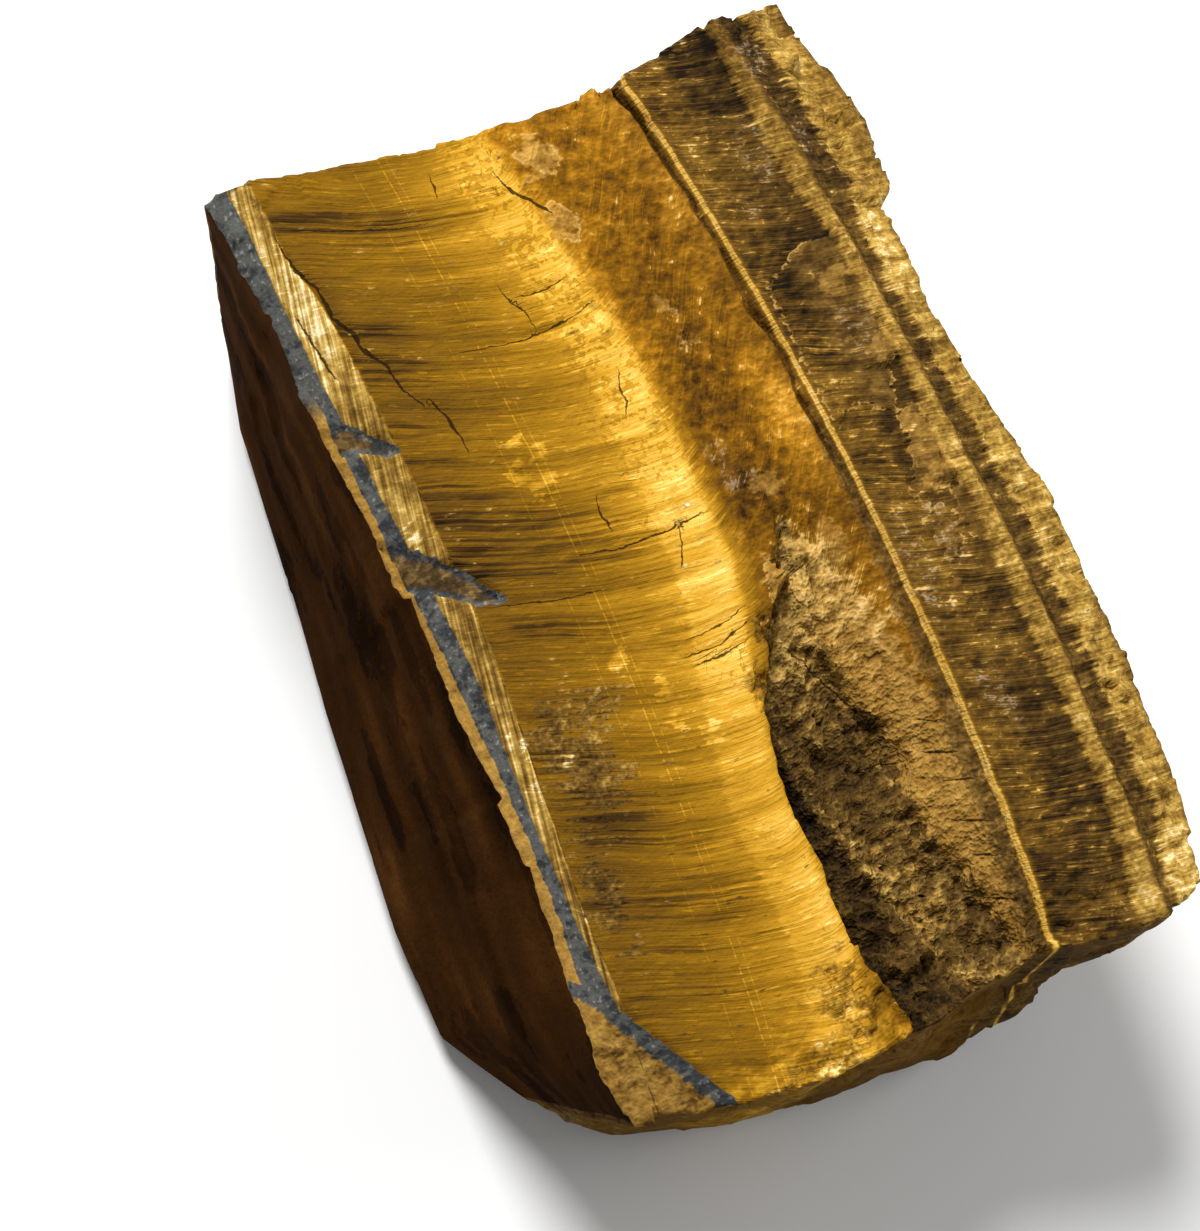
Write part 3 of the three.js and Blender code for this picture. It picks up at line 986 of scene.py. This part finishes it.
# fibres: bundles, dark streaks in clusters, hairline splits and small bright flecks
def fibres(streaks):
    calm = 1 - onSlope * 0.8
    grain = slivers * 0.06 + hair * 0.12 + fine * 0.18 + wide * 0.28
    streak = strands.ease(0.02, 0.07) * crowd.ease(-0.02, 0.05)
    bruise = bruises.ease(0.02, 0.12) * crowd.ease(0, 0.1)
    split = strands.size().ease(0.016, 0.003)
    split = split * (crowd * 1.5 + wide + hair * 0.5).ease(0, 0.12)
    dark = (streak * finish["streaks"] + bruise * finish["bruises"]) * (1 - paintedSheenShare * 0.6)
    dark = dark + split * finish["splits"]
    tone = (grain - dark) * streaks * calm
    return tone + broad * 0.14 + bright * finish["flecks"] + flaky * 0.12


# the slope has slanting flakes, the plate fine dashes of painted glint, the pale band a lengthwise silk
def texturesAndPaintedGlints():
    licks = paint.noise(paint.turned(place, -1), (5, 0.9), 1, 0.6, 31)
    tone = (licks * 0.22 + flaky * 0.75 + grit * 0.15 + broad * 0.6) * onSlope
    # painted glints: short bright dashes that stand in for highlights on the plate
    paintedGlints = (flecks + crowd * 0.5 + flaky * 0.6).ease(0.4, 0.46)
    specks = grit.ease(0.12, 0.2) * (broad + flaky * 0.5).ease(-0.05, 0.1)
    plate = paintedGlints * 0.16 + specks * 0.2 + fine * 0.35 + hair * 0.25 + flaky * 0.7 + broad * 0.7
    silk = paint.noise(paint.turned(place, 0.16), (0.35, 9), 1, 0.6, 45)
    band = silk * 0.8 + flaky * 0.6 + broad * 0.9 - alongY.ease(4, -16) * 0.13
    rim = fine * 0.35 + flaky * 0.75 + grit * 0.4 + broad * 0.4 - alongY.ease(30, 38) * 0.1
    return tone + plate * onPlate + band * onBand + rim * layer.ease(46, 47.5)


# long scratches that follow the layers
def scratches():
    course = acrossX - 0.8 + 0.001 * (alongY - 15) * (alongY - 15)
    first = (course + 0.5).size().ease(0.12, 0.04)
    second = (course - 0.45).size().ease(0.1, 0.03) * 0.7
    third = (course + 3.6).size().ease(0.1, 0.04) * 0.6
    worn = (slivers * 0.8 + broad + wide + 0.3).ease(0, 0.4)
    return first.most(second).most(third) * layer.ease(20, 10) * worn


# what wear has done to the fibre face and how dull it has left it, with painted shade in places and
# dapples that darken the painted sheen
def wearAndPaintedShade():
    ticks = paint.noise(place, (1.5, 3), 1, 0.6, 41).size().ease(0.016, 0.003)
    ticks = ticks * (flaky * 0.5 + broad * 0.5 + wide).ease(0.06, 0.14)
    ticks = ticks * (0.2 + paintedSheenShare).least(1)
    # dapples darken the painted sheen in patches
    paintedSheenDapple = (flaky + grit * 0.6).ease(0, 0.08) * paintedSheenShare * alongY.ease(-4, 22)
    # painted shade: darker tone over the shaded places
    shaded = (shadedAt + flaky * 0.6 + fine * 1.6 + wide).ease(0, 0.8)
    scuffed = (scuffedAt + flaky * 3 + fine * 2 + broad).ease(0.3, 0.55)
    yellow = (yellowAt + flaky * 2.6 + fine).ease(0.4, 0.46)
    fringe = (flaky * 5 - alongY).ease(50.5, 54) * layer.ease(-14, -13) * layer.ease(36, 30)
    crumbs = (crumbsAt + flaky * 3).ease(0.2, 0.5)
    tone = scuffed * (flaky + grit * 0.7 - 0.01) + yellow * (0.09 + flaky * 0.8)
    tone = tone + fringe * (0.12 + flaky * 0.8) + crumbs * (flaky * 0.8 + grit * 0.6 - 0.19)
    tone = tone + scratches() * finish["scratches"] - ticks * finish["ticks"]
    tone = tone - paintedSheenDapple * finish["paintedSheenDapples"] - shaded * finish["shade"]
    return tone, scuffed * 0.8 + crumbs * 0.3


def faceColour():
    tone, dull, streaks = layers()
    # worn holds the wear together with painted shade and the dapples of the painted sheen
    worn, dullness = wearAndPaintedShade()
    tone = tone + shine + fibres(streaks) + texturesAndPaintedGlints() + worn
    glossy, matt = paint.ramp(tone, fibreTones), paint.ramp(tone, dullTones)
    colour = paint.mix((dull + dullness).least(1), glossy, matt)
    return paint.mix(onSlope, colour, finish["slopeTint"], "MULTIPLY")


# crusts, rusty in places, with a painted highlight along their edge, and pale grey spots
def crusted(colour):
    crust = crustAt + flaky * 2.6
    rim = crust.size().ease(0.25, 0.08) * layer.ease(17, 19)
    spot = orangeAt + flaky * 2
    rusty = spot.ease(0.15, 0.35) * crust.ease(-0.1, 0.1).most(onSlope * 0.5)
    onSheets = crust.ease(-0.05, 0.1) * layer.ease(40, 43)
    rusty = rusty.most(spot.ease(0.5, 0.6) * 0.6).most(onSheets * 0.45)
    rust = paint.ramp(0.46 + onSlope * 0.1 + flaky * 0.9 + grit * 0.4 + rim * 0.2, crustTones)
    # painted highlight: a lighter rust tone along the crust edges
    paintedHighlight = rim * (flaky + grit * 0.5).ease(-0.08, 0.08) * 0.65
    colour = paint.mix((rusty * 0.6).most(paintedHighlight), colour, rust)
    pale = (paleAt + flaky * 1.6).ease(0.1, 0.6)
    pale = pale * (flecks * 0.4 + grit + flaky * 0.8).ease(0.1, 0.25)
    return paint.mix(pale * 0.45, colour, finish["paleSpots"])


# the pit: rough rock, golden at its back end, with painted shade that turns its foot black and a painted
# highlight along its ridge line, smoother and tan beside the seam
def pitted(colour):
    back = (alongY + flaky * 14).ease(-22, -10)
    wedge = wedgeAt + flaky * 4
    # painted shade darkens the foot of the pit under its wall; a painted highlight lightens the rock along
    # the ridge line
    foot = wedge.ease(0, 0.7)
    paintedHighlight = wedge.size().ease(1.3, 0.3) * grit.ease(0, 0.1)
    tone = 0.5 + rugged * 0.11 + grit * 0.55 + flaky * 0.8 + broad * 0.8
    tone = tone - foot * 0.22 + back * 0.22 + paintedHighlight * 0.12
    golden = back * (flaky + broad).ease(-0.12, 0.06) * 0.9
    warm = ((flaky + broad).ease(0, 0.15) * 0.7).most(golden) * (1 - foot)
    rock = paint.mix(warm, paint.ramp(tone, dullTones), paint.ramp(tone + 0.02, crustTones))
    tan = 0.45 + flaky * 0.7 + grit * 0.45 + hair * 0.15
    tan = paint.ramp(tan + alongY.ease(-12, -24) * 0.06 - alongY.ease(-40, -52) * 0.1, crustTones)
    smooth = (patchAt + flaky * 2.4).ease(0, 0.3) * (alongY + flaky * 30).ease(-4, -16)
    colour = paint.mix(inPit, colour, paint.mix(smooth, rock, tan))
    bySeam = (layer + flaky * 3.5).ease(33.6, 34) * layer.ease(35.4, 35.3) * alongY.ease(16, 8)
    return paint.mix(bySeam * 0.8, colour, paint.ramp(0.36 + grit * 0.7 + flaky * 0.8, dullTones))


# ironstone at the left edge with a rusty skin outside it, and the chamfer at the corner
def ironed(colour):
    ironTone = 0.53 + flaky * 0.3 + grit * 0.35 - (flaky + broad).ease(0.02, -0.14) * 0.2
    iron = paint.ramp(ironTone + grit.ease(0.14, 0.2) * 0.2, ironTones)
    chip = chipAt + flaky * 1.6
    ashen = paint.mix(chip.ease(0.4, 0.9) * 0.85, iron, paint.ramp(ironTone - 0.05, dullTones))
    tan = paint.ramp(0.54 + flaky * 0.5 + grit * 0.3 + broad * 0.5, crustTones)
    skin = (wall + flaky * 0.6 + broad * 0.9).ease(-0.85, -0.75) * alongY.ease(36, 32)
    share = (layer + flaky * 0.5 + broad * 1.2).ease(-17.2, -17.35).most(chip.ease(0, 0.08))
    colour = paint.mix(share, colour, paint.mix(skin, ashen, tan))
    cut = cutAt + flaky * 0.9
    bare = paint.ramp(0.47 + flaky * 0.8 + grit * 0.4 + broad * 0.7 - cut.ease(3, 9) * 0.08, crustTones)
    bare = paint.mix((flaky + broad).ease(0.02, -0.12) * 0.6, bare, paint.ramp(ironTone, dullTones))
    sawn = paint.mix((cut + broad * 2.5 + flaky).ease(1.3, 1.6), iron, bare)
    return paint.mix(cut.ease(0, 0.1), colour, sawn)


# open cracks, the torn fissure beside the seam and painted shade in the groove beside the pale band
def cracked(colour):
    jog = grit * 0.35 + flaky * 0.55
    crack = ((crackOffset + jog).size() - crackWidth * (1 + flaky * 2)).ease(0.05, -0.04)
    crack = crack * crackWidth.ease(0.02, 0.06)
    torn = ((fissure + jog).size() - 0.22).ease(0.16, -0.05) * (flaky + broad + 0.06).ease(0, 0.1)
    torn = torn * alongY.ease(2, 12) * layer.ease(35.4, 35.3)
    # painted shade: a dark line where the pale band meets the fibre face
    groove = (layer + flaky * 0.5 + 14.15).size().ease(0.16, 0.05) * alongY.ease(36, 30)
    groove = groove * (broad + wide).ease(-0.05, 0.1)
    return paint.mix(crack.most(torn * 0.85).most(groove * 0.7) * 0.9, colour, finish["openCracks"])


# the vein wall at the left, and the stained coat that the broken sides get below their top edge
def walled(colour, coat):
    stain = (stains + flaky * 0.3).ease(0.04, 0.12)
    tone = 0.28 + drift * 0.75 + grit * 0.14 + flaky * 0.15 - stain * 0.2
    colour = paint.mix((wall + flaky * 0.5).ease(0.1, 0.3), colour, paint.ramp(tone, wallTones))
    stained = paint.ramp(0.34 + flaky * 0.6 + grit * 0.4 + drift * 0.4, dullTones)
    return paint.mix(coat * 0.9 * below.ease(0, 0.3), colour, stained)


def relief():
    height = fine * 0.42 * combed + grit * (0.35 + hole * 0.8)
    height = height + flaky * (0.5 + hole * 1.7 + onSlope * 0.8)
    return paint.bump(height, finish["relief"])


def finishStone():
    coat = ((below * 0.3).least(0.5) + flaky * 1.4 + broad).ease(0.1, 0.6)
    colour = cracked(ironed(pitted(crusted(faceColour()))))
    rough = finish["roughness"] + inPit * 0.25 + coat * 0.2 + wall.ease(0, 0.4) * 0.5
    sockets = paint.shader.inputs
    paint.feed(sockets["Base Color"], walled(colour, coat))
    paint.feed(sockets["Roughness"], rough + grit * 0.2 - bright * 0.1)
    paint.feed(sockets["Normal"], relief())
    sockets["Specular IOR Level"].default_value = finish["specular"]
    sockets["Specular Tint"].default_value = finish["specularTint"]
    sockets["IOR"].default_value = finish["ior"]


finishStone()
mesh.materials.append(paint.material)
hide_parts("stone")
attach(stone, "root")
print("stone painted")


# Camera: it looks down on the fibre face, leaning to the left wall and the front end.
view = {"leanLeft": 17, "leanFront": 8, "roll": 25, "distance": 330, "target": (0, 0, 50), "lens": 86.9}


def addCamera():
    leanLeft, leanFront = math.radians(view["leanLeft"]), math.radians(view["leanFront"])
    away = Vector((-math.tan(leanLeft), -math.tan(leanFront), 1)).normalized()
    along = Vector((0, 1, 0))
    along = (along - away * along.dot(away)).normalized()
    across = along.cross(away)
    roll = math.radians(view["roll"])
    up = along * math.cos(roll) + across * math.sin(roll)
    right = up.cross(away)
    turn = Matrix((right, up, away)).transposed().to_4x4()
    camera = newObject("camera", bpy.data.cameras.new("camera"))
    target = toFrame @ Vector(view["target"])
    camera.matrix_world = Matrix.Translation(target + away * view["distance"] * scale) @ turn
    camera.data.lens = view["lens"]
    camera.data.clip_start = 0.01
    bpy.context.scene.camera = camera


room = {
    "floor": {"reach": 1.5, "colour": (0.86, 0.86, 0.85, 1), "roughness": 0.9},
    "skyStrength": 0.3,
    "aim": (0, 0, 0.03),
    "lamps": {  # place, width and watts
        "key": ((-0.06, 0.56, 0.76), 0.3, 11),
        "fill": ((0.7, -0.1, 0.5), 0.6, 2),
    },
}


def addLight(name, place, width, watts):
    lamp = bpy.data.lights.new(name, "AREA")
    lamp.shape, lamp.size, lamp.energy = "DISK", width, watts
    light = newObject(name, lamp)
    light.location = place
    aim = Vector(room["aim"]) - light.location
    light.rotation_euler = aim.to_track_quat("-Z", "Y").to_euler()


def addFloor(reach, colour, roughness):
    plane = bpy.data.meshes.new("floor")
    corners = [(-reach, -reach, 0), (reach, -reach, 0), (reach, reach, 0), (-reach, reach, 0)]
    plane.from_pydata(corners, [], [(0, 1, 2, 3)])
    floor = newObject("floor", plane)
    paper = PaintSheet("palePaper")
    paper.shader.inputs["Base Color"].default_value = colour
    paper.shader.inputs["Roughness"].default_value = roughness
    plane.materials.append(paper.material)


def addRoom():
    addFloor(**room["floor"])
    world = bpy.context.scene.world or bpy.data.worlds.new("studio")
    bpy.context.scene.world = world
    world.use_nodes = True
    sky = world.node_tree.nodes["Background"]
    sky.inputs["Color"].default_value = (1, 1, 1, 1)
    sky.inputs["Strength"].default_value = room["skyStrength"]
    for name, settings in room["lamps"].items():
        addLight(name, *settings)


addCamera()
addRoom()
bpy.context.scene.view_settings.view_transform = "Standard"
print("camera and lights placed")
